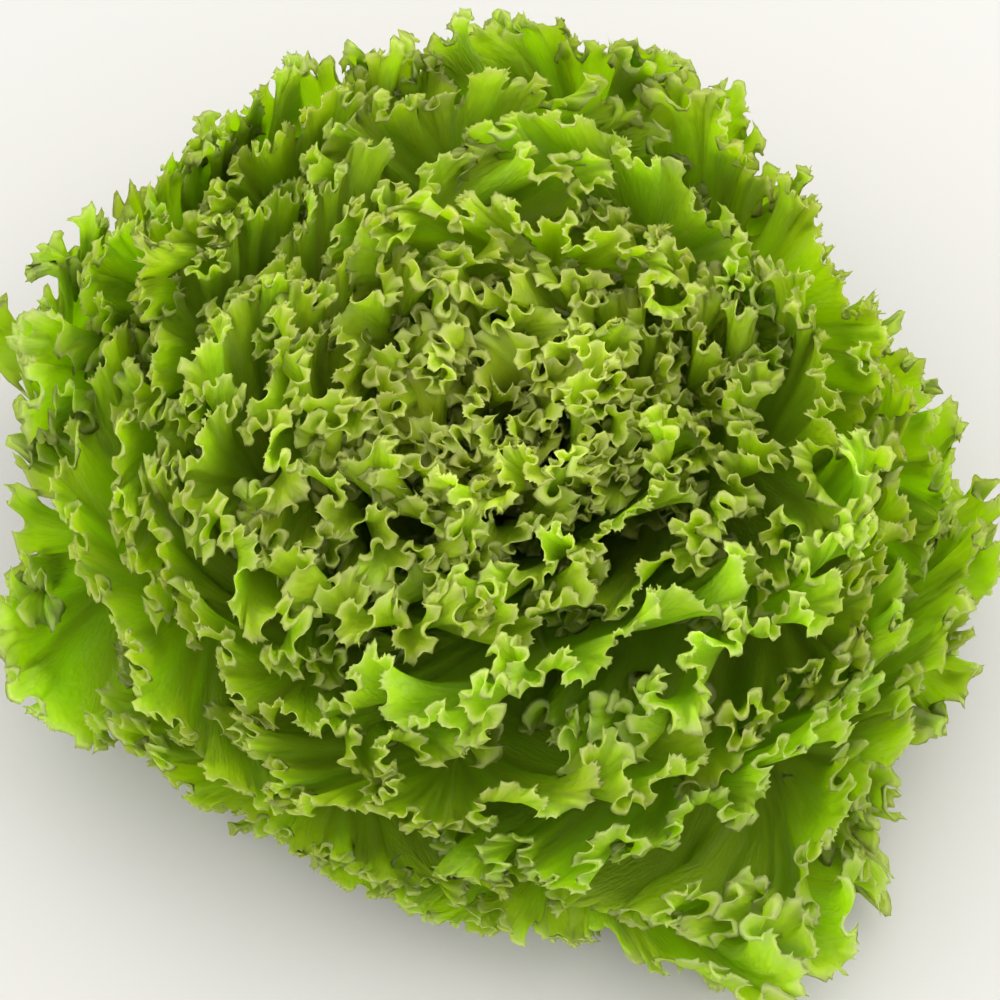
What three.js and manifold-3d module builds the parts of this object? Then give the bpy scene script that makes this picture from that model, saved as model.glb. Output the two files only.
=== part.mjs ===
// A cut head of lollo bionda lettuce, standing on its cut stem and its lowest leaves.
// Millimetres, +Z up, and the table is the plane z = 0. The head is a spiral of separate leaves on a
// short crown: each leaf is one thin closed solid with a thick midrib and a ruffled rim.
//
// Every leaf is a surface in polar coordinates about the crown's centre: the reach from the centre,
// the azimuth round the head's axis and the opening angle from that axis. At any reach and azimuth
// the leaves open in their own order, the outermost widest, so no two leaves can cross.

import * as THREE from "three";
import { mergeVertices } from "three/addons/utils/BufferGeometryUtils.js";
import Module from "manifold-3d";

// Driving dimensions, in millimetres and degrees.
const LEAF_COUNT = 48;
const GOLDEN_ANGLE = 137.508; // the turn from each leaf to the next
const FIRST_AZIMUTH = -54; // where the outermost leaf points, from +X towards +Y
const STEM_LEAN = 7; // how far the stem and the outermost leaves lean towards -Y
const HEART_LEAN = 15;
const CROWN_RADIUS = 18;
const CROWN_HEIGHT = 31; // the crown's centre above the table
const CROWN_OFFSET = { x: -0.3, y: 1.2 }; // from the middle of the whole head's box to the crown
const STEM_RADIUS = 15; // at the cut
const GAP = 0.4; // between the crown and the leaves that grow from it

const OUTER_REACH = 150; // from the crown's centre to the tip of the outermost leaf
const HEART_REACH = 104;
const OUTER_HALF_WIDTH = 90;
const HEART_HALF_WIDTH = 42;
const NARROW_OPENING = 15; // leaves less open than this are narrower, to fit round the axis
const OUTER_BASE_OPENING = 108; // opening angles, where the leaf leaves the crown and at its tip
const HEART_BASE_OPENING = 5;
const OUTER_TIP_OPENING = 103;
const HEART_TIP_OPENING = 3;
const CROWDING = 1.15; // above 1, the outer leaves lie closer together than the inner ones
const DROOP = 20; // how much further the outermost leaf opens, all round
const FRONT_DROOP = { azimuth: -138, gain: 5, spread: 34 }; // and about this azimuth
const FRONT_CURL = 24; // how far the tips of the outermost leaves curl up towards the axis
const BACK_CURL = 34;
const CURL_SPAN = 80; // of reach, back from the tip
const SWELL = 8; // how much further the middle leaves reach
const UNEVEN_AZIMUTH = 11; // how far a leaf may be out of its even place and size, each way
const UNEVEN_LENGTH = 7;
const UNEVEN_WIDTH = 0.08; // share of the half width
const MOST_WRAP = 12; // how far a leaf may wrap round the axis, beside its flat width

const RIB_SHARE = 0.66; // of the leaf's length, where the midrib fades out
const OUTER_RIB_HALF_WIDTH = 7.5;
const HEART_RIB_HALF_WIDTH = 3;
const RIB_TIP_HALF_WIDTH = 0.6;
const MOST_RIB_SHARE = 0.1; // of the leaf's half width, so that a narrow leaf still has blade at its base
const OUTER_RIB_THICKNESS = 2.8;
const HEART_RIB_THICKNESS = 0.7;
const BLADE_THICKNESS = 1;
const HEART_BLADE_THICKNESS = 0.5;

const LAST_TURN = 166; // the outline runs from -LAST_TURN over the tip to +LAST_TURN
const COLUMNS = 22; // steps along the outline, an even number
const ROWS = [0, 0.33, 0.62, 0.83, 1]; // from the midrib to the rim
const OUTER_RIPPLE = 0.4; // the rim's ripple each way, in steps between one leaf and the next
const HEART_RIPPLE = 0.15; // where even next leaves overlap

const PRESSED_BELOW = 34; // the head's weight bends what is lower than this up onto the table
const LOWEST_UNPRESSED = -34;
const STIFF_REACH = 20; // the thick leaf bases don't bend, and the blades do
const SOFT_REACH = 55;

const radians = THREE.MathUtils.degToRad;
const mix = THREE.MathUtils.lerp;

// The head isn't round: about each of these directions the leaves reach further, or less far.
const LUMPS = [
  // round the outline
  { azimuth: -59, opening: 96, gain: 0.34, spread: 15 },
  { azimuth: -29, opening: 96, gain: -0.12, spread: 11 },
  { azimuth: -80, opening: 96, gain: -0.06, spread: 9 },
  { azimuth: -112, opening: 96, gain: -0.17, spread: 34 },
  { azimuth: -144, opening: 96, gain: -0.03, spread: 9 },
  { azimuth: -163, opening: 92, gain: 0.1, spread: 10 },
  { azimuth: 177, opening: 86, gain: -0.3, spread: 9 },
  { azimuth: 150, opening: 82, gain: -0.05, spread: 10 },
  { azimuth: 162, opening: 88, gain: 0.2, spread: 10 },
  { azimuth: 107, opening: 70, gain: -0.22, spread: 11 },
  { azimuth: 84, opening: 72, gain: 0.03, spread: 14 },
  { azimuth: 40, opening: 76, gain: -0.3, spread: 18 },
  { azimuth: 18, opening: 84, gain: -0.12, spread: 14 },
  { azimuth: -8, opening: 90, gain: 0.05, spread: 8 },
  // hollows and clumps in the crown of leaves
  { azimuth: -130, opening: 29, gain: -0.16, spread: 10 },
  { azimuth: -69, opening: 45, gain: -0.12, spread: 9 },
  { azimuth: 0, opening: 32, gain: -0.1, spread: 8 },
  { azimuth: 78, opening: 26, gain: -0.12, spread: 9 },
  { azimuth: 142, opening: 36, gain: -0.1, spread: 9 },
  { azimuth: 14, opening: 19, gain: 0.06, spread: 10 },
  { azimuth: 110, opening: 18, gain: 0.06, spread: 9 },
  { azimuth: -18, opening: 42, gain: 0.06, spread: 12 },
];

// The spiral isn't even either: directions drift out of their places, most about halfway up.
const WOBBLES = [
  { axis: new THREE.Vector3(3.4, -1.9, 2.2), phase: 0.6, opening: 5, azimuth: 6 },
  { axis: new THREE.Vector3(-2.1, -3.3, 1.7), phase: 2.9, opening: 5, azimuth: -6 },
  { axis: new THREE.Vector3(1.3, 3.1, -3.2), phase: 4.4, opening: 5, azimuth: 7 },
];

function directionOf(azimuth, opening) {
  const [a, o] = [radians(azimuth), radians(opening)];
  return new THREE.Vector3(Math.sin(o) * Math.cos(a), Math.sin(o) * Math.sin(a), Math.cos(o));
}
for (const lump of LUMPS) lump.direction = directionOf(lump.azimuth, lump.opening);

function lumpFactor(azimuth, opening) {
  const direction = directionOf(azimuth, opening);
  let factor = 1;
  for (const lump of LUMPS) {
    const apart = THREE.MathUtils.radToDeg(direction.angleTo(lump.direction));
    factor += lump.gain * Math.exp(-((apart / lump.spread) ** 2));
  }
  return factor;
}

// Where a direction has drifted to.
function wobbled(azimuth, opening) {
  const direction = directionOf(azimuth, opening);
  const to = { azimuth, opening };
  for (const wobble of WOBBLES) {
    const angle = direction.dot(wobble.axis) + wobble.phase;
    to.opening += wobble.opening * Math.sin(radians(2 * opening)) * Math.sin(angle);
    to.azimuth += wobble.azimuth * Math.cos(radians(opening)) * Math.cos(angle);
  }
  return to;
}

const tipReach = (order) => mix(OUTER_REACH, HEART_REACH, order) + SWELL * Math.sin(Math.PI * order);
const tipOpening = (order) => mix(OUTER_TIP_OPENING, HEART_TIP_OPENING, order ** CROWDING);

// One leaf's own sizes. order runs from 0 at the outermost leaf to 1 at the heart.
function leafOf(index) {
  const order = index / (LEAF_COUNT - 1);
  const uneven = (step) => 2 * ((index * step) % 1) - 1; // -1 to 1, spread evenly over the leaves
  const room = Math.sin(radians(tipOpening(order))) / Math.sin(radians(NARROW_OPENING));
  const evenWidth = mix(OUTER_HALF_WIDTH, HEART_HALF_WIDTH, order ** 1.3) * Math.min(1, room) ** 0.8;
  const halfWidth = evenWidth * (1 + UNEVEN_WIDTH * uneven(0.8192));
  const ribHalfWidth = mix(OUTER_RIB_HALF_WIDTH, HEART_RIB_HALF_WIDTH, order);
  return {
    order,
    azimuth: FIRST_AZIMUTH + index * GOLDEN_ANGLE + UNEVEN_AZIMUTH * uneven(0.7549),
    length: tipReach(order) + UNEVEN_LENGTH * uneven(0.5698) - CROWN_RADIUS,
    halfWidth,
    ribHalfWidth: Math.min(ribHalfWidth, MOST_RIB_SHARE * halfWidth),
    ribThickness: mix(OUTER_RIB_THICKNESS, HEART_RIB_THICKNESS, order),
    bladeThickness: mix(BLADE_THICKNESS, HEART_BLADE_THICKNESS, order),
    ripple: mix(OUTER_RIPPLE, HEART_RIPPLE, THREE.MathUtils.smoothstep(order, 0.75, 0.9)),
    step: tipOpening(order) - tipOpening(Math.min(1, order + 1 / (LEAF_COUNT - 1))),
  };
}

// The leaf's flat outline, x across and y along it, as it turns from one side of the base over the tip.
function outline(leaf, turn) {
  const a = radians(turn);
  return {
    x: leaf.halfWidth * Math.sin(a) * (1 + 0.25 * Math.cos(a)),
    y: leaf.length * ((1 + Math.cos(a)) / 2) ** 0.58,
  };
}

// The edge of the midrib that the same turn's side vein grows from.
function ribEdge(leaf, turn) {
  const along = ((1 + Math.cos(radians(turn))) / 2) ** 0.7;
  const atEnd = ((1 + Math.cos(radians(LAST_TURN))) / 2) ** 0.7;
  const share = (along - atEnd) / (1 - atEnd);
  return {
    x: Math.sign(turn) * mix(leaf.ribHalfWidth, RIB_TIP_HALF_WIDTH, share ** 0.7),
    y: leaf.length * RIB_SHARE * share,
  };
}

// The opening angle of a leaf at a reach and azimuth. It falls with order wherever they are the same.
function openingAngle(order, reach, azimuth) {
  const share = THREE.MathUtils.clamp((reach - CROWN_RADIUS) / (OUTER_REACH - CROWN_RADIUS), 0, 1);
  const apart = THREE.MathUtils.euclideanModulo(azimuth - FRONT_DROOP.azimuth + 180, 360) - 180;
  const droop = DROOP + FRONT_DROOP.gain * Math.exp(-((apart / FRONT_DROOP.spread) ** 2));
  const base = mix(OUTER_BASE_OPENING, HEART_BASE_OPENING, order ** CROWDING);
  const tip = tipOpening(order) + droop * (1 - order) ** 4;
  const facing = (1 + Math.sin(radians(azimuth))) / 2;
  const curl = mix(FRONT_CURL, BACK_CURL, facing) * (1 - order ** CROWDING);
  const nearTip = THREE.MathUtils.clamp((reach - tipReach(order)) / CURL_SPAN + 1, 0, 1.1);
  return mix(base, tip, share ** 1.2) - curl * nearTip ** 2;
}

// Weight bends the lowest leaves: heights from LOWEST_UNPRESSED to PRESSED_BELOW close up above the table.
function pressed(z) {
  if (z >= PRESSED_BELOW) return z;
  const share = Math.max(0, (z - LOWEST_UNPRESSED) / (PRESSED_BELOW - LOWEST_UNPRESSED));
  return PRESSED_BELOW * share * mix(share, 1, 0.35 + 0.65 * share);
}

// The heart leans further than the outer leaves do, so the lean depends on the opening angle.
function leanAngle(opening) {
  return radians(mix(HEART_LEAN, STEM_LEAN, THREE.MathUtils.clamp(opening / (Math.PI / 2), 0, 1)));
}

// A point of the leaf in the part's frame. offset is how far it lies outside the leaf's middle surface.
function place(leaf, x, y, ripple, offset) {
  const start = CROWN_RADIUS + GAP;
  const reach = Math.hypot(x, y + start);
  const wrap = Math.min(MOST_WRAP, 1 / Math.sin(radians(tipOpening(leaf.order))));
  const evenAzimuth = leaf.azimuth + THREE.MathUtils.radToDeg(Math.atan2(x, y + start)) * wrap;
  const middle = openingAngle(leaf.order, reach, evenAzimuth);
  const evenOpening = middle + ripple * leaf.step + THREE.MathUtils.radToDeg(offset / reach);
  const to = wobbled(evenAzimuth, evenOpening);
  const [azimuth, opening] = [radians(to.azimuth), radians(to.opening)];
  const lumps = lumpFactor(to.azimuth, to.opening);
  const stretch = mix(1, lumps, (reach - CROWN_RADIUS) / OUTER_REACH);
  const across = reach * stretch * Math.sin(opening);
  const up = reach * stretch * Math.cos(opening);
  const lean = leanAngle(opening);
  const sideways = across * Math.sin(azimuth);
  const point = new THREE.Vector3(
    CROWN_OFFSET.x + across * Math.cos(azimuth),
    CROWN_OFFSET.y + sideways * Math.cos(lean) - up * Math.sin(lean),
    CROWN_HEIGHT + sideways * Math.sin(lean) + up * Math.cos(lean),
  );
  const yields = THREE.MathUtils.smoothstep(reach, STIFF_REACH, SOFT_REACH);
  point.z = mix(point.z, pressed(point.z), yields);
  return point;
}

// A leaf as a closed solid: a grid from the midrib to the rim on each side, a ladder of faces across
// the midrib between the two sides' first rows, the same again for the back, and a wall round the edge.
function leafGeometry(leaf) {
  const spots = [];
  const addSpot = (x, y, ripple, thickness) => spots.push({ x, y, ripple, thickness }) - 1;
  const turnAt = (column) => LAST_TURN * ((2 * column) / COLUMNS - 1);
  const half = COLUMNS / 2;
  const ribThicknessAt = (y) =>
    mix(leaf.ribThickness, leaf.bladeThickness, Math.min(1, y / (leaf.length * RIB_SHARE)));

  const grid = ROWS.map((row) => {
    const ids = [];
    for (let column = 0; column <= COLUMNS; column++) {
      const turn = turnAt(column);
      const rib = ribEdge(leaf, turn);
      const rim = outline(leaf, turn);
      const fade = 1 - THREE.MathUtils.smoothstep(Math.abs(turn), 60, LAST_TURN);
      const ripple = (column % 2 ? 1 : -1) * leaf.ripple * fade * row ** 2;
      const x = mix(rib.x, rim.x, row);
      const y = mix(rib.y, rim.y, row);
      ids.push(addSpot(x, y, ripple, leaf.bladeThickness));
    }
    return ids;
  });
  const ridge = [];
  for (let rung = 0; rung < half; rung++) {
    const y = ribEdge(leaf, turnAt(rung)).y;
    ridge.push(addSpot(0, y, 0, ribThicknessAt(y)));
  }

  const faces = [];
  const quad = (a, b, c, d) => faces.push([a, b, c], [a, c, d]);
  for (let row = 0; row + 1 < ROWS.length; row++) {
    for (let column = 0; column < COLUMNS; column++) {
      const [near, far] = [grid[row], grid[row + 1]];
      quad(near[column], near[column + 1], far[column + 1], far[column]);
    }
  }
  const ribRow = grid[0];
  for (let rung = 0; rung + 1 < half; rung++) {
    quad(ribRow[rung + 1], ribRow[rung], ridge[rung], ridge[rung + 1]);
    quad(ridge[rung + 1], ridge[rung], ribRow[COLUMNS - rung], ribRow[COLUMNS - rung - 1]);
  }
  faces.push([ribRow[half], ribRow[half - 1], ridge[half - 1]]);
  faces.push([ribRow[half], ridge[half - 1], ribRow[half + 1]]);

  const rimRow = grid[ROWS.length - 1];
  const leftSide = grid.map((ids) => ids[0]);
  const rightSide = grid.map((ids) => ids[COLUMNS]).reverse();
  const edge = [...leftSide.slice(0, -1), ...rimRow, ...rightSide.slice(1), ridge[0]];

  const outerFace = spots.map((s) => place(leaf, s.x, s.y, s.ripple, s.thickness / 2));
  const innerFace = spots.map((s) => place(leaf, s.x, s.y, s.ripple, -s.thickness / 2));
  const count = spots.length;
  const triangles = [];
  for (const [a, b, c] of faces) triangles.push([a, b, c], [a + count, c + count, b + count]);
  edge.forEach((a, i) => {
    const b = edge[(i + 1) % edge.length];
    triangles.push([a, b, b + count], [a, b + count, a + count]);
  });
  const geometry = new THREE.BufferGeometry();
  geometry.setFromPoints([...outerFace, ...innerFace]);
  geometry.setIndex(triangles.flat());
  geometry.computeVertexNormals();
  return geometry;
}

// manifold-3d joins and cuts solids.
const wasm = await Module();
wasm.setup();

function toSolid(geometry) {
  const plain = geometry.clone();
  plain.deleteAttribute("normal");
  plain.deleteAttribute("uv");
  const merged = mergeVertices(plain, 1e-3);
  return new wasm.Manifold(
    new wasm.Mesh({
      numProp: 3,
      vertProperties: new Float32Array(merged.attributes.position.array),
      triVerts: new Uint32Array(merged.index.array),
    }),
  );
}

function toGeometry(solid) {
  const mesh = solid.getMesh();
  const geometry = new THREE.BufferGeometry();
  geometry.setAttribute("position", new THREE.BufferAttribute(new Float32Array(mesh.vertProperties), 3));
  geometry.setIndex(new THREE.BufferAttribute(new Uint32Array(mesh.triVerts), 1));
  geometry.computeVertexNormals();
  return geometry;
}

// The stump: a round crown on a short neck, along the stem's leaning axis, cut flat by the table.
function stemGeometry() {
  const below = -2 * CROWN_HEIGHT;
  const profile = [new THREE.Vector2(0, below), new THREE.Vector2(STEM_RADIUS, below)];
  const neckAngle = Math.asin(STEM_RADIUS / CROWN_RADIUS);
  const steps = 6;
  for (let i = 0; i <= steps; i++) {
    const a = mix(Math.PI - neckAngle, 0, i / steps);
    profile.push(new THREE.Vector2(CROWN_RADIUS * Math.sin(a), CROWN_RADIUS * Math.cos(a)));
  }
  profile[profile.length - 1].x = 0;
  const lathe = new THREE.LatheGeometry(profile, 24);
  lathe.rotateX(Math.PI / 2 + radians(STEM_LEAN));
  lathe.translate(CROWN_OFFSET.x, CROWN_OFFSET.y, CROWN_HEIGHT);
  const table = new THREE.BoxGeometry(400, 400, 200);
  table.translate(0, 0, -100);
  return toGeometry(toSolid(lathe).subtract(toSolid(table)));
}

const LEAF_GROUPS = [
  { name: "outer_leaf", until: 0.3, color: 0x7fb52a },
  { name: "middle_leaf", until: 0.62, color: 0x94c437 },
  { name: "inner_leaf", until: 0.88, color: 0xa9d145 },
  { name: "heart_leaf", until: 1, color: 0xbcda5c },
];

const head = new THREE.Group();

const stem = new THREE.Mesh(
  stemGeometry(),
  new THREE.MeshStandardMaterial({ color: 0xdfe6c0, roughness: 0.6, metalness: 0 }),
);
stem.name = "cut_stem";
head.add(stem);

const counts = {};
for (let index = 0; index < LEAF_COUNT; index++) {
  const leaf = leafOf(index);
  const group = LEAF_GROUPS.find((g) => leaf.order <= g.until);
  counts[group.name] = (counts[group.name] ?? 0) + 1;
  const mesh = new THREE.Mesh(
    leafGeometry(leaf),
    new THREE.MeshStandardMaterial({ color: group.color, roughness: 0.45, metalness: 0 }),
  );
  mesh.name = `${group.name}_${String(counts[group.name]).padStart(2, "0")}`;
  head.add(mesh);
}

export default head;
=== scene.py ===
import math

import bpy
import numpy as np
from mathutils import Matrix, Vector


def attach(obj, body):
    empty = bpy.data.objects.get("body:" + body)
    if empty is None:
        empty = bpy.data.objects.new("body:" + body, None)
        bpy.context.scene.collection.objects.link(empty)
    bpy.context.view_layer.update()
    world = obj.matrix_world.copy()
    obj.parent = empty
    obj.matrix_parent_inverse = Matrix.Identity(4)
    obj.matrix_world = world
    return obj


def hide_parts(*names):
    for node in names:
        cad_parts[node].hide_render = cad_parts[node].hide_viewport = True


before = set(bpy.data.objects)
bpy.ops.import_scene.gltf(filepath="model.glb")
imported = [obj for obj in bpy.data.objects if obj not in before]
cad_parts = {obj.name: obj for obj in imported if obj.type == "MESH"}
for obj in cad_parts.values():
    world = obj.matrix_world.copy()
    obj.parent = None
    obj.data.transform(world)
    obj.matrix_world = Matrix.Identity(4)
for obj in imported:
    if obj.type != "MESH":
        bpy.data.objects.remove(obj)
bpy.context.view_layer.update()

MM = 0.001

# The camera looks along +Y and down at the head.
CAMERA_ELEVATION = math.radians(60)
CAMERA_DISTANCE = 0.85
FRAME_WIDTH = 0.305
CAMERA_TARGET = Vector((-0.0003, -0.0038, 0.045))

# The leaves grow as in part.mjs: the same names hold the same sizes, in millimetres and degrees.
# Only rib_edge differs: here the midrib narrows to a point at its tip.
LEAF_COUNT = 48
GOLDEN_ANGLE = 137.508
FIRST_AZIMUTH = -54
STEM_LEAN = 7
HEART_LEAN = 15
CROWN_RADIUS = 18
CROWN_HEIGHT = 31
CROWN_OFFSET = (-0.3, 1.2)
GAP = 0.4
OUTER_REACH = 150
HEART_REACH = 104
SWELL = 8
UNEVEN_AZIMUTH = 11
UNEVEN_LENGTH = 7
UNEVEN_WIDTH = 0.08
OUTER_HALF_WIDTH = 90
HEART_HALF_WIDTH = 42
OUTER_BASE_OPENING = 108
HEART_BASE_OPENING = 5
OUTER_TIP_OPENING = 103
HEART_TIP_OPENING = 3
CROWDING = 1.15
DROOP = 20
FRONT_DROOP = (-138, 5, 34)
FRONT_CURL = 24
BACK_CURL = 34
CURL_SPAN = 80
MOST_WRAP = 12
NARROW_OPENING = 15
RIB_SHARE = 0.66
OUTER_RIB_HALF_WIDTH = 7.5
HEART_RIB_HALF_WIDTH = 3
RIB_TIP_HALF_WIDTH = 0.6
MOST_RIB_SHARE = 0.1
LAST_TURN = 166
PRESSED_BELOW = 34
LOWEST_UNPRESSED = -34
STIFF_REACH = 20
SOFT_REACH = 55
LUMPS = [  # azimuth, opening, gain, spread
    (-59, 96, 0.34, 15),
    (-29, 96, -0.12, 11),
    (-80, 96, -0.06, 9),
    (-112, 96, -0.17, 34),
    (-144, 96, -0.03, 9),
    (-163, 92, 0.1, 10),
    (177, 86, -0.3, 9),
    (150, 82, -0.05, 10),
    (162, 88, 0.2, 10),
    (107, 70, -0.22, 11),
    (84, 72, 0.03, 14),
    (40, 76, -0.3, 18),
    (18, 84, -0.12, 14),
    (-8, 90, 0.05, 8),
    (-130, 29, -0.16, 10),
    (-69, 45, -0.12, 9),
    (0, 32, -0.1, 8),
    (78, 26, -0.12, 9),
    (142, 36, -0.1, 9),
    (14, 19, 0.06, 10),
    (110, 18, 0.06, 9),
    (-18, 42, 0.06, 12),
]


def mix(a, b, t):
    return a + (b - a) * t


def smoothstep(x, low, high):
    t = np.clip((x - low) / (high - low), 0, 1)
    return t * t * (3 - 2 * t)


def direction_of(azimuth, opening):
    a, o = np.radians(azimuth), np.radians(opening)
    return np.stack([np.sin(o) * np.cos(a), np.sin(o) * np.sin(a), np.cos(o)], -1)


def lump_factor(azimuth, opening):
    direction = direction_of(azimuth, opening)
    factor = np.ones(np.shape(azimuth))
    for lump_azimuth, lump_opening, gain, spread in LUMPS:
        facing = np.clip(direction @ direction_of(lump_azimuth, lump_opening), -1, 1)
        factor += gain * np.exp(-((np.degrees(np.arccos(facing)) / spread) ** 2))
    return factor


WOBBLES = [  # axis, phase, opening, azimuth
    ((3.4, -1.9, 2.2), 0.6, 5, 6),
    ((-2.1, -3.3, 1.7), 2.9, 5, -6),
    ((1.3, 3.1, -3.2), 4.4, 5, 7),
]


def wobbled(azimuth, opening):
    """Directions a little out of their even places, most about the heart."""
    direction = direction_of(azimuth, np.degrees(opening))
    turned, opened = azimuth, opening
    for axis, phase, opening_gain, azimuth_gain in WOBBLES:
        angle = direction @ np.array(axis) + phase
        opened = opened + np.radians(opening_gain) * np.sin(2 * opening) * np.sin(angle)
        turned = turned + azimuth_gain * np.cos(opening) * np.cos(angle)
    return turned, opened


def tip_reach(order):
    return mix(OUTER_REACH, HEART_REACH, order) + SWELL * math.sin(math.pi * order)


def leaf_of(index):
    order = index / (LEAF_COUNT - 1)

    def uneven(step):
        return 2 * ((index * step) % 1) - 1

    opening = mix(OUTER_TIP_OPENING, HEART_TIP_OPENING, order**CROWDING)
    narrow = min(1, math.sin(math.radians(opening)) / math.sin(math.radians(NARROW_OPENING))) ** 0.8
    half_width = mix(OUTER_HALF_WIDTH, HEART_HALF_WIDTH, order**1.3) * narrow
    half_width *= 1 + UNEVEN_WIDTH * uneven(0.8192)
    rib_half_width = mix(OUTER_RIB_HALF_WIDTH, HEART_RIB_HALF_WIDTH, order)
    return dict(
        index=index,
        order=order,
        azimuth=FIRST_AZIMUTH + index * GOLDEN_ANGLE + UNEVEN_AZIMUTH * uneven(0.7549),
        length=tip_reach(order) + UNEVEN_LENGTH * uneven(0.5698) - CROWN_RADIUS,
        half_width=half_width,
        rib_half_width=min(rib_half_width, MOST_RIB_SHARE * half_width),
    )


def outline(leaf, turn):
    a = np.radians(turn)
    x = leaf["half_width"] * np.sin(a) * (1 + 0.25 * np.cos(a))
    return np.stack([x, leaf["length"] * ((1 + np.cos(a)) / 2) ** 0.58], -1)


def rib_edge(leaf, turn):
    along = ((1 + np.cos(np.radians(turn))) / 2) ** 0.7
    at_end = ((1 + math.cos(math.radians(LAST_TURN))) / 2) ** 0.7
    share = np.clip((along - at_end) / (1 - at_end), 0, 1)
    x = np.clip(turn / RIB_TIP_TURN, -1, 1) * mix(leaf["rib_half_width"], RIB_TIP_HALF_WIDTH, share**0.7)
    return np.stack([x, leaf["length"] * RIB_SHARE * share], -1)


def opening_angle(order, reach, azimuth):
    share = np.clip((reach - CROWN_RADIUS) / (OUTER_REACH - CROWN_RADIUS), 0, 1)
    middle, gain, spread = FRONT_DROOP
    apart = (azimuth - middle + 180) % 360 - 180
    droop = DROOP + gain * np.exp(-((apart / spread) ** 2))
    inward = order**CROWDING
    base = mix(OUTER_BASE_OPENING, HEART_BASE_OPENING, inward)
    tip = mix(OUTER_TIP_OPENING, HEART_TIP_OPENING, inward)
    curl = mix(FRONT_CURL, BACK_CURL, (1 + np.sin(np.radians(azimuth))) / 2) * (1 - inward)
    near_tip = np.clip((reach - tip_reach(order)) / CURL_SPAN + 1, 0, 1.1)
    return mix(base, tip + droop * (1 - order) ** 4, share**1.2) - curl * near_tip**2


def pressed(z):
    share = np.maximum(0, (z - LOWEST_UNPRESSED) / (PRESSED_BELOW - LOWEST_UNPRESSED))
    low = PRESSED_BELOW * share * mix(share, 1, 0.35 + 0.65 * share)
    return np.where(z >= PRESSED_BELOW, z, low)


def place(leaf, x, y, z):
    """Points of a flat leaf, x across, y along and z off it, in the part's frame."""
    start = CROWN_RADIUS + GAP
    reach = np.hypot(x, y + start)
    even = mix(OUTER_TIP_OPENING, HEART_TIP_OPENING, leaf["order"] ** CROWDING)
    wrap = min(MOST_WRAP, 1 / math.sin(math.radians(even)))
    azimuth = leaf["azimuth"] + np.degrees(np.arctan2(x, y + start)) * wrap
    opening = np.radians(opening_angle(leaf["order"], reach, azimuth)) + z / reach
    azimuth, opening = wobbled(azimuth, opening)
    lumps = lump_factor(azimuth, np.degrees(opening))
    stretch = mix(1, lumps, (reach - CROWN_RADIUS) / OUTER_REACH)
    across = reach * stretch * np.sin(opening)
    up = reach * stretch * np.cos(opening)
    lean = np.radians(mix(HEART_LEAN, STEM_LEAN, np.clip(opening / (math.pi / 2), 0, 1)))
    sideways = across * np.sin(np.radians(azimuth))
    px = CROWN_OFFSET[0] + across * np.cos(np.radians(azimuth))
    py = CROWN_OFFSET[1] + sideways * np.cos(lean) - up * np.sin(lean)
    pz = CROWN_HEIGHT + sideways * np.sin(lean) + up * np.cos(lean)
    yields = smoothstep(reach, STIFF_REACH, SOFT_REACH)
    return np.stack([px, py, mix(pz, pressed(pz), yields)], -1)


# Rows from the rim to the midrib, as distances from the rim where the blade is ROW_SPAN wide, and
# the rows at which the columns halve.
ROW_SPAN = 60
ROW_DEPTHS = [0, 1, 2.6, 4.8, 8, 12.4, 18.5, 27, 40, 60]
HALVINGS = [1, 4, 6, 8]
COLUMN_STEP = 64
RUNG = [0.25, 0.5, 0.75]  # the points between a rung's ends, across the midrib
WIDE = 3  # columns, for directions on a sheet whose smallest folds are wider
RIB_TIP_TURN = 24  # the midrib narrows to a point over the last of its edges

# How a leaf's sheet is shaped, in millimetres and degrees unless it is a share.
OUTLINE_SAMPLES = 4001
BASE_TURNS = (85, 130)  # where the columns thin out towards the base
BASE_COLUMN_SHARE = 0.35
STILL_TURNS = (105, LAST_TURN)  # where the ruffles fade towards the base
STILL_SHARE = 0.75
LOBE_LIMITS = (-1.6, 0.8)
LOBE_MIDDLE = 0.955
STEEPEST_FOLD = 98
LEAST_SPAN_LEFT = 0.25  # of the distance between two rows, after a fold has drawn it in
SMALL_TEETH = (0.36, 0.3)  # spacing and height, as shares of the large ones'

# Half the blade's thickness at the rim and inside, and how far in it thickens.
RIM_HALF_THICK = 0.12
BLADE_HALF_THICK = 0.3
THICK_DEPTH = 12
RIB_RISE = 1.2
LOWEST_POINT = 0.02

PAINTED_SHEEN_STRENGTH = 0.26  # of the whitish sheen painted in uneven places, standing in for highlights

SHAPE_SEED = 7000
COLOR_SEED = 9000


def wander(rng, x, scale, count=5):
    """Smooth noise from about -1 to 1 along x, with features about scale long."""
    total = np.zeros(np.shape(x))
    for _ in range(count):
        total += np.sin(2 * math.pi * x / scale * rng.uniform(0.45, 1.25) + rng.uniform(0, 2 * math.pi))
    return total / math.sqrt(count)


def bessel0(a):
    b = a * a / 4
    return 1 - b + b**2 / 4 - b**3 / 36 + b**4 / 576


def smoothed(values, width):
    """A moving average along the last axis, width samples wide, with mirrored ends."""
    width = max(3, int(width) // 2 * 2 + 1)
    half = width // 2
    before = 2 * values[:, :1] - values[:, half:0:-1]
    after = 2 * values[:, -1:] - values[:, -2 : -half - 2 : -1]
    padded = np.concatenate([before, values, after], 1)
    total = np.cumsum(np.concatenate([np.zeros((len(values), 1)), padded], 1), 1)
    return (total[:, width:] - total[:, :-width]) / width


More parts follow.
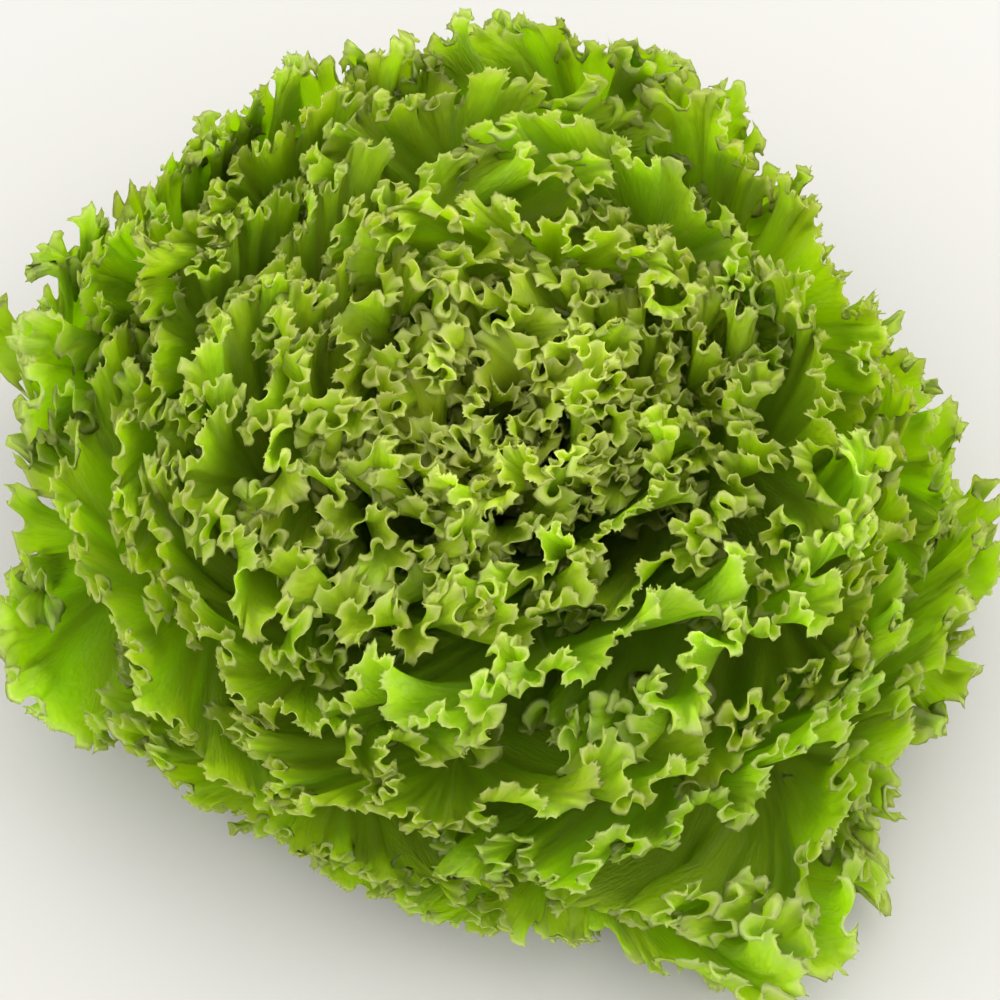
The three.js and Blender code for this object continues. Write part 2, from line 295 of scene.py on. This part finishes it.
def teeth(rng, columns, spacing, height):
    """The rim's teeth: pointed, with round hollows between them, per column."""
    profile = np.zeros(columns + 1)
    at, here = 0, height * rng.uniform(0.4, 1)
    while at < columns:
        step = max(3, int(round(spacing * rng.uniform(0.6, 1.5))))
        there = height * rng.uniform(0.25, 1) ** 1.3
        t = np.arange(0, step + 1) / step
        bit = mix(here, there, t) * np.abs(2 * t - 1) ** 1.6
        stop = min(columns, at + step)
        profile[at : stop + 1] = np.maximum(profile[at : stop + 1], bit[: stop + 1 - at])
        at, here = stop, there
    return profile


def unit(vectors):
    return vectors / np.maximum(np.linalg.norm(vectors, axis=-1, keepdims=True), 1e-9)


def averaged(vectors, width):
    """A moving average of vectors along a sheet's rows."""
    rows, columns, _ = vectors.shape
    flat = np.moveaxis(vectors, -1, 1).reshape(rows * 3, columns)
    return np.moveaxis(smoothed(flat, width).reshape(rows, 3, columns), 1, -1)


def frames(surface, spread=1):
    """Unit vectors at each point of a sheet: along its rows, out towards its rim, and off it."""
    columns = np.arange(surface.shape[1])
    ahead, behind = np.minimum(columns + spread, columns[-1]), np.maximum(columns - spread, 0)
    along = unit(surface[:, ahead] - surface[:, behind])
    out = averaged(-np.gradient(surface, axis=0), 2 * spread + 1)
    out = unit(out - along * (out * along).sum(-1, keepdims=True))
    return along, out, np.cross(along, out)


def curled(surface, depth, angle, deep, spread):
    """Bends a sheet's outer part round its rows, by angle degrees at the rim."""
    turn = np.radians(angle) * np.clip(1 - depth / deep, 0, 1) ** 1.3
    middle = (turn[1:] + turn[:-1]) / 2
    span = np.linalg.norm(np.diff(surface, axis=0), axis=-1)
    zeros = np.zeros((1, span.shape[1]))
    further = np.concatenate([np.cumsum((span * (np.cos(middle) - 1))[::-1], 0)[::-1], zeros], 0)
    higher = np.concatenate([np.cumsum((span * np.sin(middle))[::-1], 0)[::-1], zeros], 0)
    along, out, normal = frames(surface, spread)
    return surface + further[..., None] * out + higher[..., None] * normal


def add_ruffle(surface, depth, size, fade, rng):
    """Folds a sheet along its rows. The folds grow towards the rim, and draw it in as much as they use up."""
    step = np.linalg.norm(np.diff(surface, axis=1), axis=-1)
    zeros = np.zeros((len(surface), 1))
    run = np.concatenate([zeros, np.cumsum(step, 1)], 1)
    rim_run, wave = run[0], size["wave"]
    frequency = np.maximum(1 + 0.3 * wander(rng, rim_run, 3.1 * wave), 0.35) / wave
    phase = 2 * math.pi * (np.concatenate([[0], np.cumsum(step[0] * frequency[1:])]) + rng.uniform())
    width = depth[-1]
    strength = size["angle"] * (1 + 0.2 * wander(rng, rim_run, 3.3 * wave))
    strength = strength * fade * np.minimum(width / wave, 1)
    deep = np.minimum(size["depth"] * (1 + 0.22 * wander(rng, rim_run, 4 * wave)), width)
    flare = size["flare"] * np.exp(-depth / size["flare_depth"])
    share = (1 - size["flare"]) * np.clip(1 - depth / deep, 0, 1) ** size["growth"] + flare
    angle = np.radians(np.clip(strength, 0, STEEPEST_FOLD)) * share
    heading = angle * np.sin(phase)
    longer = 1 / bessel0(np.minimum(angle, 2.1))
    middle = (heading[:, 1:] + heading[:, :-1]) / 2
    ds = step * (longer[:, 1:] + longer[:, :-1]) / 2
    shift = np.concatenate([zeros, np.cumsum(ds * np.cos(middle), 1)], 1) - run
    off = np.concatenate([zeros, np.cumsum(ds * np.sin(middle), 1)], 1)
    per_wave = surface.shape[1] * wave / rim_run[-1]
    shift -= smoothed(smoothed(shift, per_wave), per_wave)
    off -= smoothed(smoothed(off, per_wave), per_wave)
    span = np.linalg.norm(np.diff(surface, axis=0), axis=-1)
    used = np.hypot(np.diff(off, axis=0), np.diff(shift, axis=0))
    left = np.sqrt(np.maximum(span**2 - used**2, (LEAST_SPAN_LEFT * span) ** 2))
    drawn_in = np.concatenate([np.cumsum((span - left)[::-1], 0)[::-1], np.zeros((1, span.shape[1]))], 0)
    # Directions are taken over a quarter of a fold: single columns' can flip over between neighbours.
    along, out, normal = frames(surface, max(WIDE, int(per_wave / 4)))
    tilt = np.radians(size["tilt"]) * wander(rng, rim_run, 1.3 * wave)
    rise = np.cos(tilt)[:, None] * normal + np.sin(tilt)[:, None] * out
    surface = surface + shift[..., None] * along + off[..., None] * rise - drawn_in[..., None] * out
    # The rims of the cups roll away from their middles.
    return curled(surface, depth, -size["roll"] * np.cos(phase) * fade, size["roll_depth"], 2)


def ruffled(leaf, style):
    """The leaf's middle surface, flat but for its ruffles, in millimetres: rows of points, the rim first."""
    rng = np.random.default_rng(SHAPE_SEED + leaf["index"])
    columns = style["columns"]
    depths = np.array(ROW_DEPTHS) / ROW_SPAN
    v = 1 - depths[:, None]
    # Columns are spread evenly along the rim, thinner towards the leaf's base.
    fine = np.linspace(-LAST_TURN, LAST_TURN, OUTLINE_SAMPLES)
    rim = outline(leaf, fine)
    length = np.concatenate([[0], np.cumsum(np.hypot(*np.diff(rim, axis=0).T))])
    weight = mix(1, BASE_COLUMN_SHARE, smoothstep(np.abs(fine), *BASE_TURNS))
    run = np.concatenate([[0], np.cumsum(np.diff(length) * (weight[1:] + weight[:-1]) / 2)])
    turn = np.interp(np.linspace(0, run[-1], columns + 1), run, fine)

    along = np.interp(turn, fine, length)
    rim, rib = outline(leaf, turn), rib_edge(leaf, turn)
    lobes = np.clip(wander(rng, along, style["lobe_spacing"]), *LOBE_LIMITS)
    rim = mix(rib, rim, LOBE_MIDDLE + style["lobes"] * lobes[:, None])
    base = rib[None] + (rim - rib)[None] * v[..., None]
    depth = (1 - v) * np.hypot(*(rim - rib).T)[None]
    fade = 1 - STILL_SHARE * smoothstep(np.abs(turn), *STILL_TURNS)

    # Broad folds along the side veins, a curl, then two sizes of ruffle.
    fold = wander(rng, along, style["fold_spacing"], 4) * style["fold"] * smoothstep(v, 0.15, 1) * fade
    surface = np.concatenate([base, fold[..., None]], -1)
    curl = -(style["curl"] + style["uncurl"] * wander(rng, along, style["curl_spacing"])) * fade
    surface = curled(surface, depth, curl, style["curl_depth"], WIDE)
    for size in style["ruffles"]:
        surface = add_ruffle(surface, depth, size, fade, rng)

    # Teeth run out along the sheet.
    steps = np.linalg.norm(np.diff(surface[0], axis=0), axis=-1)
    rim_step = np.mean(steps)
    bite = teeth(rng, columns, style["tooth"] / rim_step, style["tooth_height"])
    spacing, height = SMALL_TEETH
    bite = bite + teeth(rng, columns, spacing * style["tooth"] / rim_step, height * style["tooth_height"])
    bite = bite * mix(1, 0.5, smoothstep(np.abs(turn), 120, LAST_TURN))
    reach = np.clip(1 - depth / style["tooth_depth"], 0, 1) ** 1.5
    out = frames(surface)[1]
    surface = surface + (bite * reach)[..., None] * out
    return surface, depth, np.concatenate([[0], np.cumsum(steps)])


STYLES = {
    "outer": dict(
        columns=2048, lobes=0.085, lobe_spacing=50, curl=-12, uncurl=44, curl_spacing=48, curl_depth=34,
        fold=9, fold_spacing=66, tooth=4.8, tooth_height=2.0, tooth_depth=3.6,
        ruffles=[
            dict(
                wave=31, angle=100, depth=62, growth=0.8,
                flare=0.1, flare_depth=6, tilt=16, roll=14, roll_depth=9,
            ),
            dict(
                wave=11.5, angle=86, depth=23, growth=1,
                flare=0.12, flare_depth=3, tilt=16, roll=18, roll_depth=3.6,
            ),
        ],
    ),
    "heart": dict(
        columns=1472, lobes=0.08, lobe_spacing=28, curl=-16, uncurl=26, curl_spacing=30, curl_depth=22,
        fold=4, fold_spacing=42, tooth=2.7, tooth_height=1.35, tooth_depth=2.4,
        ruffles=[
            dict(
                wave=21, angle=84, depth=44, growth=0.8,
                flare=0.1, flare_depth=3.5, tilt=18, roll=12, roll_depth=6,
            ),
            dict(
                wave=8, angle=84, depth=12, growth=1.1,
                flare=0.12, flare_depth=2, tilt=16, roll=18, roll_depth=2.6,
            ),
        ],
    ),
}


def style_of(order):
    """Sizes between those of the outermost leaf and those of the heart."""
    a, b = STYLES["outer"], STYLES["heart"]
    t = order**0.7
    style = {key: mix(a[key], b[key], t) for key in a if key != "ruffles"}
    style["columns"] = int(round(style["columns"] / COLUMN_STEP)) * COLUMN_STEP
    style["ruffles"] = [{k: mix(p[k], q[k], t) for k in p} for p, q in zip(a["ruffles"], b["ruffles"])]
    return style


def leaf_sheet(leaf):
    """The leaf's middle surface in place: points, faces, what is known at each point, and its edge."""
    style = style_of(leaf["order"])
    surface, depth, rim_run = ruffled(leaf, style)
    points = place(leaf, *np.moveaxis(surface, -1, 0))
    columns = style["columns"]

    spots, rows, stride, count = [], [], 1, 0
    known = []  # rim_mm, along_mm, rib, and the places in the bake map: share, run, station, across
    for r in range(len(ROW_DEPTHS)):
        if r in HALVINGS:
            stride *= 2
        picked = np.arange(0, columns + 1, stride)
        rows.append(np.arange(count, count + len(picked)))
        count += len(picked)
        spots.append(points[r, picked])
        share = picked / columns
        same = np.ones(len(picked))
        station = 1 - np.abs(2 * share - 1)
        across = np.where(share < 0.5, 0, 1)
        row = same * ROW_DEPTHS[r] / ROW_SPAN
        known.append(np.stack([depth[r, picked], rim_run[picked], 0 * same, share, row, station, across], -1))

    # Rungs across the midrib join its two edges.
    ribs = rows[-1]
    half = len(ribs) // 2
    left = surface[-1, ::stride, :2]
    rungs = []
    for k in range(half):
        a, b = left[k], left[len(ribs) - 1 - k]
        inner = []
        for t in RUNG:
            p = mix(a, b, t)
            spots.append(place(leaf, p[:1], p[1:], np.zeros(1)))
            known.append(np.array([[ROW_SPAN, rim_run[k * stride], 1 - abs(2 * t - 1), 0.5, 1, k / half, t]]))
            inner.append(count)
            count += 1
        rungs.append([ribs[k], *inner, ribs[len(ribs) - 1 - k]])
    spots = np.concatenate(spots)
    known = np.concatenate(known)

    blade = []
    for near, far in zip(rows[:-1], rows[1:]):
        if len(near) == len(far):
            for k in range(len(near) - 1):
                blade.append((near[k], near[k + 1], far[k + 1], far[k]))
        else:
            # The end fans are centred inside the sheet. A face that lay all on the leaf's edge would be
            # the same face on both sides of the leaf.
            last = len(far) - 2
            for k in range(last + 1):
                a, b, c = near[2 * k : 2 * k + 3]
                if k == 0:
                    blade += [(far[0], a, far[1]), (far[1], a, b), (far[1], b, c)]
                elif k == last:
                    blade += [(far[k], a, b), (far[k], b, c), (far[k], c, far[k + 1])]
                else:
                    blade += [(far[k], a, b), (far[k], b, far[k + 1]), (far[k + 1], b, c)]
    ladder = []
    for low, high in zip(rungs[:-1], rungs[1:]):
        for m in range(len(low) - 1):
            ladder.append((low[m], high[m], high[m + 1], low[m + 1]))
    top, tip = rungs[-1], ribs[half]
    for m in range(len(top) - 1):
        ladder.append((top[m], tip, top[m + 1]))

    edge = [int(i) for i in rows[0]]
    edge += [int(r[-1]) for r in rows[1:]]
    edge += [int(i) for i in rungs[0][::-1][1:-1]]
    edge += [int(r[0]) for r in rows[:0:-1]]
    return spots, known, blade, ladder, edge


def sheet_normals(spots, faces):
    mesh = bpy.data.meshes.new("sheet")
    mesh.from_pydata(spots.tolist(), [], faces)
    normals = np.empty(len(mesh.vertices) * 3, np.float32)
    mesh.vertex_normals.foreach_get("vector", normals)
    bpy.data.meshes.remove(mesh)
    return normals.reshape(-1, 3)


MAP_MARGIN = 0.01
MAP_BANDS = 2  # on each side of the blade
MAP_BLADE_FROM = 0.12  # the midrib's strips lie below this
MAP_BLADE_HEIGHT = 0.86


def add_bake_map(mesh, known, blade_count, ladder_count):
    """Lays the leaf's faces out flat for baking: bands of the blade, and strips for the midrib."""
    loop_vertex = np.empty(len(mesh.loops), np.int32)
    mesh.loops.foreach_get("vertex_index", loop_vertex)
    totals = np.empty(len(mesh.polygons), np.int32)
    mesh.polygons.foreach_get("loop_total", totals)
    starts = np.concatenate([[0], np.cumsum(totals)[:-1]])
    share, run, station, across = known[loop_vertex, 3:].T
    middle = np.add.reduceat(share, starts) / totals
    band = np.repeat(np.floor(middle * MAP_BANDS), totals)
    face = np.repeat(np.arange(len(totals)), totals)
    inner = face >= blade_count + ladder_count
    height = MAP_BLADE_HEIGHT / (2 * MAP_BANDS)
    u = mix(MAP_MARGIN, 1 - MAP_MARGIN, share * MAP_BANDS - band)
    v = MAP_BLADE_FROM + height * (band + MAP_BANDS * inner + mix(0.02, 0.98, run**0.7))
    on_ladder = face % (blade_count + ladder_count) >= blade_count
    u = np.where(on_ladder, mix(0.01, 0.49, station) + 0.5 * inner, u)
    v = np.where(on_ladder, mix(0.01, 0.1, across), v)
    layer = mesh.uv_layers.new(name="OFBake")
    layer.data.foreach_set("uv", np.stack([u, v], -1).astype(np.float32).ravel())


def leaf_object(name, leaf, material):
    """A closed leaf: an upper and a lower side, which meet along the leaf's edge."""
    spots, known, blade, ladder, edge = leaf_sheet(leaf)
    count = len(spots)
    faces = [tuple(int(i) for i in f) for f in blade + ladder]
    normals = sheet_normals(spots, faces)
    rim_mm, along_mm, rib = known[:, 0], known[:, 1], known[:, 2]
    half_thick = mix(RIM_HALF_THICK, BLADE_HALF_THICK, smoothstep(rim_mm, 0, THICK_DEPTH))
    inside = np.setdiff1d(np.arange(count), edge)
    outer = spots + normals * (half_thick + rib * RIB_RISE)[:, None]
    outer[edge] = spots[edge]
    inner = (spots - normals * half_thick[:, None])[inside]
    every = np.concatenate([outer, inner])
    every[:, 2] = np.maximum(every[:, 2], LOWEST_POINT)
    other = np.arange(count)
    other[inside] = count + np.arange(len(inside))
    other = other.tolist()
    polygons = faces + [tuple(other[i] for i in f[::-1]) for f in faces]
    mesh = bpy.data.meshes.new(name)
    mesh.from_pydata((every * MM).tolist(), [], polygons)
    mesh.polygons.foreach_set("use_smooth", np.ones(len(mesh.polygons), bool))

    rng = np.random.default_rng(COLOR_SEED + leaf["index"])
    tone = np.clip(0.5 + 0.22 * wander(rng, along_mm, 90, 3) + rng.uniform(-0.3, 0.3), 0, 1)
    # Where a whitish sheen is painted into the colour, standing in for highlights.
    sheen_noise = wander(rng, along_mm, 40, 3) + wander(rng, rim_mm + along_mm / 2, 17, 3)
    painted_sheen = PAINTED_SHEEN_STRENGTH * smoothstep(sheen_noise, 0.6, 1.8)
    sheet = np.stack([along_mm, rim_mm, np.full(count, 41.0 * leaf["index"])], -1)
    source = np.concatenate([np.arange(count), inside])
    for label, value in (("rim_mm", rim_mm), ("rib", rib), ("tone", tone), ("painted_sheen", painted_sheen)):
        attribute = mesh.attributes.new(label, "FLOAT", "POINT")
        attribute.data.foreach_set("value", value[source].astype(np.float32))
    attribute = mesh.attributes.new("sheet_mm", "FLOAT_VECTOR", "POINT")
    attribute.data.foreach_set("vector", sheet[source].astype(np.float32).ravel())
    add_bake_map(mesh, known[source], len(blade), len(ladder))
    mesh.update()
    piece = bpy.data.objects.new(name, mesh)
    bpy.context.scene.collection.objects.link(piece)
    mesh.materials.append(material)
    return piece


class Shader:
    """A material's nodes, added one call at a time."""

    def __init__(self, name):
        self.material = bpy.data.materials.new(name)
        self.material.use_nodes = True
        self.tree = self.material.node_tree
        self.tree.nodes.clear()

    def add(self, kind, inputs, output=0, **settings):
        node = self.tree.nodes.new("ShaderNode" + kind)
        for key, value in settings.items():
            setattr(node, key, value)
        for key, value in inputs.items():
            if isinstance(value, bpy.types.NodeSocket):
                self.tree.links.new(value, node.inputs[key])
            else:
                node.inputs[key].default_value = value
        return node.outputs[output]

    def attribute(self, name, output="Fac"):
        return self.add("Attribute", {}, output, attribute_name=name)

    def math(self, operation, a, b=0.0, c=0.0):
        return self.add("Math", {0: a, 1: b, 2: c}, operation=operation)

    def scaled(self, value, low, high, to_low=0.0, to_high=1.0):
        return self.add("MapRange", {"Value": value, 1: low, 2: high, 3: to_low, 4: to_high})

    def mixed(self, factor, a, b):
        a, b = (x if isinstance(x, bpy.types.NodeSocket) else (*x, 1) for x in (a, b))
        return self.add("Mix", {0: factor, 6: a, 7: b}, 2, data_type="RGBA")

    def noise(self, vector, scale, detail):
        return self.add("TexNoise", {"Vector": vector, "Scale": scale, "Detail": detail, "Roughness": 0.5})

    def ramp(self, factor, stops):
        node = self.tree.nodes.new("ShaderNodeValToRGB")
        self.tree.links.new(factor, node.inputs[0])
        elements = node.color_ramp.elements
        while len(elements) < len(stops):
            elements.new(0.5)
        for element, (at, color) in zip(elements, stops):
            element.position = at
            element.color = (*color, 1)
        return node.outputs[0]

    def finish(self, shader):
        output = self.tree.nodes.new("ShaderNodeOutputMaterial")
        self.tree.links.new(shader, output.inputs["Surface"])
        return self.material


DEEP_MM = 30.0  # the distance from the rim over which the colours below are spread
BETWEEN_RIM_AND_BLADE = 0.55
COLOR_PLACES = (0, 0.02, 0.06, 0.15, 0.55)  # as shares of DEEP_MM
LET_THROUGH = 0.62  # the share of light that shines through a leaf rather than off it


def leaf_material(name, rim, blade, deep, rib_color, painted_sheen_color):
    shader = Shader(name)
    sheet = shader.attribute("sheet_mm", "Vector")
    rim_mm, rib = shader.attribute("rim_mm"), shader.attribute("rib")
    tone, painted_sheen = shader.attribute("tone"), shader.attribute("painted_sheen")

    # Colour runs from the pale rim to the deeper blade, a little unevenly.
    blisters = shader.noise(sheet, 0.3, 1)
    uneven = shader.scaled(blisters, 0.3, 0.7, -0.35, 0.35)
    at = shader.math("DIVIDE", shader.math("MULTIPLY_ADD", rim_mm, uneven, rim_mm), DEEP_MM)
    between = tuple(mix(a, b, BETWEEN_RIM_AND_BLADE) for a, b in zip(rim, blade))
    color = shader.ramp(at, list(zip(COLOR_PLACES, (rim, rim, between, blade, deep))))

    # Side veins run in from the rim.
    stretched = shader.add("VectorMath", {0: sheet, 1: (0.2, 0.07, 1)}, operation="MULTIPLY")
    inputs = {"Vector": stretched, "Scale": 1.0}
    cells = shader.add("TexVoronoi", inputs, "Distance", feature="DISTANCE_TO_EDGE")
    veins = shader.math("MULTIPLY", shader.scaled(cells, 0, 0.1, 0.45, 0), shader.scaled(rim_mm, 1, 7))
    color = shader.mixed(veins, color, rib_color)

    # Painted whitish sheen in uneven places, standing in for highlights, and the pale midrib.
    color = shader.mixed(painted_sheen, color, painted_sheen_color)
    color = shader.mixed(shader.scaled(rib, 0, 0.6, 0, 0.85), color, rib_color)
    hue = shader.scaled(tone, 0, 1, 0.493, 0.507)
    value = shader.scaled(tone, 0, 1, 0.86, 1.12)
    color = shader.add("HueSaturation", {"Hue": hue, "Value": value, "Color": color})

    normal = shader.add("Bump", {"Height": blisters, "Strength": 0.7, "Distance": 0.0016})
    roughness = shader.scaled(blisters, 0.3, 0.7, 0.36, 0.56)
    inputs = {"Base Color": color, "Roughness": roughness, "Normal": normal, "Specular IOR Level": 0.25}
    leaf = shader.add("BsdfPrincipled", inputs)
    glowing = shader.add("HueSaturation", {"Saturation": 1.1, "Value": 1.4, "Color": color})
    through = shader.add("BsdfTranslucent", {"Color": glowing})
    return shader.finish(shader.add("MixShader", {0: LET_THROUGH, 1: leaf, 2: through}))


# Each group of leaves: its last place in the order, then its rim, blade, deep, midrib and painted sheen
# colours.
GROUPS = [
    (
        "outer_leaf", 0.3,
        (0.52, 0.59, 0.21), (0.49, 0.66, 0.022), (0.41, 0.6, 0.012),
        (0.5, 0.62, 0.12), (0.52, 0.66, 0.2),
    ),
    (
        "middle_leaf", 0.62,
        (0.55, 0.61, 0.21), (0.51, 0.67, 0.024), (0.43, 0.62, 0.013),
        (0.51, 0.63, 0.12), (0.54, 0.66, 0.2),
    ),
    (
        "inner_leaf", 0.88,
        (0.57, 0.62, 0.21), (0.53, 0.68, 0.026), (0.46, 0.63, 0.014),
        (0.53, 0.64, 0.12), (0.56, 0.66, 0.2),
    ),
    (
        "heart_leaf", 1,
        (0.6, 0.64, 0.22), (0.57, 0.69, 0.028), (0.49, 0.64, 0.016),
        (0.56, 0.65, 0.13), (0.59, 0.67, 0.2),
    ),
]

STEM_RADIUS = 15
STEM_TURNS = 96
STEM_FOOT = -28.5  # along the stem's axis, from the crown's middle
STEM_RINGS = 16
CROWN_RINGS = 14
CUT_RADII = (0.001, 3, 6, 9, 11, 13, 14.3)
CUT_HOLLOW = 0.25  # how far the cut face rises in its middle
SCAR_COUNT = 16
LOWEST_SCAR = -26
SCAR_RISE = 1.25
SCAR_HALF_WIDTH = 6
SCAR_HALF_HEIGHT = 1.3
SCAR_BULGE = 0.5


def stem_material():
    shader = Shader("stem_flesh")
    place_mm = shader.attribute("place_mm", "Vector")
    radius, cut, scar = (shader.attribute(name) for name in ("radius_share", "cut", "scar"))
    skin = shader.ramp(shader.noise(place_mm, 0.16, 4), [(0.3, (0.52, 0.6, 0.26)), (0.7, (0.72, 0.76, 0.46))])
    skin = shader.mixed(shader.math("MULTIPLY", scar, 0.55), skin, (0.5, 0.36, 0.16))
    flesh = shader.ramp(
        radius,
        [
            (0, (0.78, 0.8, 0.55)),
            (0.5, (0.8, 0.82, 0.58)),
            (0.66, (0.5, 0.56, 0.24)),
            (0.76, (0.72, 0.75, 0.45)),
            (1, (0.55, 0.5, 0.24)),
        ],
    )
    spots = shader.add("TexVoronoi", {"Vector": place_mm, "Scale": 0.55}, "Distance")
    ring = shader.math("MULTIPLY", shader.scaled(radius, 0.56, 0.66), shader.scaled(radius, 0.82, 0.72))
    bundle = shader.math("MULTIPLY", ring, shader.scaled(spots, 0.45, 0.2))
    flesh = shader.mixed(bundle, flesh, (0.3, 0.24, 0.08))
    browned = shader.scaled(shader.noise(place_mm, 0.22, 4), 0.5, 0.75, 0, 0.6)
    flesh = shader.mixed(browned, flesh, (0.45, 0.26, 0.1))
    color = shader.mixed(cut, skin, flesh)
    height = shader.math("ADD", shader.noise(place_mm, 0.5, 4), shader.math("MULTIPLY", bundle, 0.5))
    normal = shader.add("Bump", {"Height": height, "Strength": 0.5, "Distance": 0.0006})
    roughness = shader.scaled(shader.noise(place_mm, 0.4, 2), 0.3, 0.7, 0.35, 0.6)
    flesh = shader.add(
        "BsdfPrincipled",
        {
            "Base Color": color,
            "Roughness": roughness,
            "Normal": normal,
            "Subsurface Weight": 0.15,
            "Subsurface Scale": 0.003,
        },
    )
    return shader.finish(flesh)


def stem_object(name, material):
    """The stump, its leaf scars in a spiral and its cut face on the table."""
    lean = math.radians(STEM_LEAN)
    axis = np.array([0, -math.sin(lean), math.cos(lean)])
    side, forward = np.array([1.0, 0, 0]), np.array([0, math.cos(lean), math.sin(lean)])
    crown = np.array([*CROWN_OFFSET, CROWN_HEIGHT])
    neck = -math.sqrt(CROWN_RADIUS**2 - STEM_RADIUS**2)
    turns = np.arange(STEM_TURNS) * 2 * math.pi / STEM_TURNS
    radial = np.cos(turns)[:, None] * side + np.sin(turns)[:, None] * forward
    scars = [(k * math.radians(GOLDEN_ANGLE), LOWEST_SCAR + SCAR_RISE * k) for k in range(SCAR_COUNT)]

    def ring(radius, height):
        """A ring about the stem's axis, and how much of a leaf scar is at each of its points."""
        scar = np.zeros(STEM_TURNS)
        for angle, level in scars:
            apart = (turns - angle + math.pi) % (2 * math.pi) - math.pi
            across = apart * STEM_RADIUS / SCAR_HALF_WIDTH
            scar += np.exp(-(across**2) - ((height - level) / SCAR_HALF_HEIGHT) ** 2)
        scar = np.clip(scar, 0, 1)
        spread = radius + SCAR_BULGE * scar - 0.2 + 0.15 * np.sin(3 * turns + 0.2 * height)
        return crown + radial * spread[:, None] + axis * height, scar

    bottom = []
    for radius in CUT_RADII:
        points = crown + radial * radius
        points = points - axis * (points[:, 2:] / axis[2])
        points[:, 2] = CUT_HOLLOW * (1 - radius / STEM_RADIUS)
        bottom.append((points, radius / STEM_RADIUS, 1.0, np.zeros(STEM_TURNS)))
    sides = []
    for height in np.linspace(STEM_FOOT, neck, STEM_RINGS):
        points, scar = ring(STEM_RADIUS, height)
        sides.append((points, 1.0, 0.0, scar))
    dome = []
    at_neck = math.asin(STEM_RADIUS / CROWN_RADIUS)
    for angle in np.linspace(at_neck, math.pi - 0.02, CROWN_RINGS)[1:]:
        height = -CROWN_RADIUS * math.cos(angle)
        points, scar = ring(CROWN_RADIUS * math.sin(angle), height)
        dome.append((points, 1.0, 0.0, 0 * scar))
    rings = bottom + sides + dome
    points = np.concatenate([r[0] for r in rings])
    points[:, 2] = np.maximum(points[:, 2], 0)
    faces = []
    for r in range(len(rings) - 1):
        for k in range(STEM_TURNS):
            a, b = r * STEM_TURNS + k, r * STEM_TURNS + (k + 1) % STEM_TURNS
            faces.append((a, b, b + STEM_TURNS, a + STEM_TURNS))
    faces.append(tuple(range(STEM_TURNS))[::-1])
    faces.append(tuple(range((len(rings) - 1) * STEM_TURNS, len(rings) * STEM_TURNS)))
    mesh = bpy.data.meshes.new(name)
    mesh.from_pydata((points * MM).tolist(), [], faces)
    mesh.polygons.foreach_set("use_smooth", np.ones(len(mesh.polygons), bool))
    for label, column in (("radius_share", 1), ("cut", 2)):
        attribute = mesh.attributes.new(label, "FLOAT", "POINT")
        values = np.repeat([r[column] for r in rings], STEM_TURNS)
        attribute.data.foreach_set("value", values.astype(np.float32))
    attribute = mesh.attributes.new("scar", "FLOAT", "POINT")
    attribute.data.foreach_set("value", np.concatenate([r[3] for r in rings]).astype(np.float32))
    attribute = mesh.attributes.new("place_mm", "FLOAT_VECTOR", "POINT")
    attribute.data.foreach_set("vector", points.astype(np.float32).ravel())
    mesh.update()
    piece = bpy.data.objects.new(name, mesh)
    bpy.context.scene.collection.objects.link(piece)
    mesh.materials.append(material)
    return piece


camera_data = bpy.data.cameras.new("camera")
camera_data.lens = 18 / (FRAME_WIDTH / 2 / CAMERA_DISTANCE)
camera_data.clip_start = 0.01
camera = bpy.data.objects.new("camera", camera_data)
bpy.context.scene.collection.objects.link(camera)
back = Vector((0, -math.cos(CAMERA_ELEVATION), math.sin(CAMERA_ELEVATION)))
camera.location = CAMERA_TARGET + back * CAMERA_DISTANCE
camera.rotation_euler = (-back).to_track_quat("-Z", "Y").to_euler()
bpy.context.scene.camera = camera

stem = stem_object("stem", stem_material())
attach(stem, "root")
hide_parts("cut_stem")

leaf_materials = {group: leaf_material(group, *colors) for group, _, *colors in GROUPS}
counts = dict.fromkeys(leaf_materials, 0)
for index in range(LEAF_COUNT):
    leaf = leaf_of(index)
    group = next(g[0] for g in GROUPS if leaf["order"] <= g[1])
    counts[group] += 1
    node = f"{group}_{counts[group]:02d}"
    piece = leaf_object("ruffled_" + node, leaf, leaf_materials[group])
    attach(piece, "root")
    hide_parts(node)

FLOOR_HALF = 3.0
floor_mesh = bpy.data.meshes.new("floor")
corners = [(x * FLOOR_HALF, y * FLOOR_HALF, 0) for x, y in ((-1, -1), (1, -1), (1, 1), (-1, 1))]
floor_mesh.from_pydata(corners, [], [(0, 1, 2, 3)])
floor = bpy.data.objects.new("floor", floor_mesh)
bpy.context.scene.collection.objects.link(floor)
floor_material = bpy.data.materials.new("floor")
floor_material.use_nodes = True
floor_material.node_tree.nodes["Principled BSDF"].inputs["Base Color"].default_value = (0.42, 0.41, 0.39, 1)
floor_material.node_tree.nodes["Principled BSDF"].inputs["Roughness"].default_value = 0.8
floor_mesh.materials.append(floor_material)

world = bpy.data.worlds.new("studio")
bpy.context.scene.world = world
world.use_nodes = True
world.node_tree.nodes["Background"].inputs["Color"].default_value = (1, 1, 1, 1)
world.node_tree.nodes["Background"].inputs["Strength"].default_value = 2.14


def area_light(name, location, target, size, power, color):
    data = bpy.data.lights.new(name, "AREA")
    data.shape = "DISK"
    data.size = size
    data.energy = power
    data.color = color
    light = bpy.data.objects.new(name, data)
    light.location = location
    light.rotation_euler = (Vector(target) - Vector(location)).to_track_quat("-Z", "Y").to_euler()
    bpy.context.scene.collection.objects.link(light)


area_light("key", (0.75, 0.15, 1.2), (0, 0, 0.05), 1.1, 3.9, (1, 0.98, 0.94))
bpy.context.scene.view_settings.view_transform = "Standard"
# The leaves are many and let light through, so each further bounce costs render time.
bpy.context.scene.cycles.max_bounces = 3
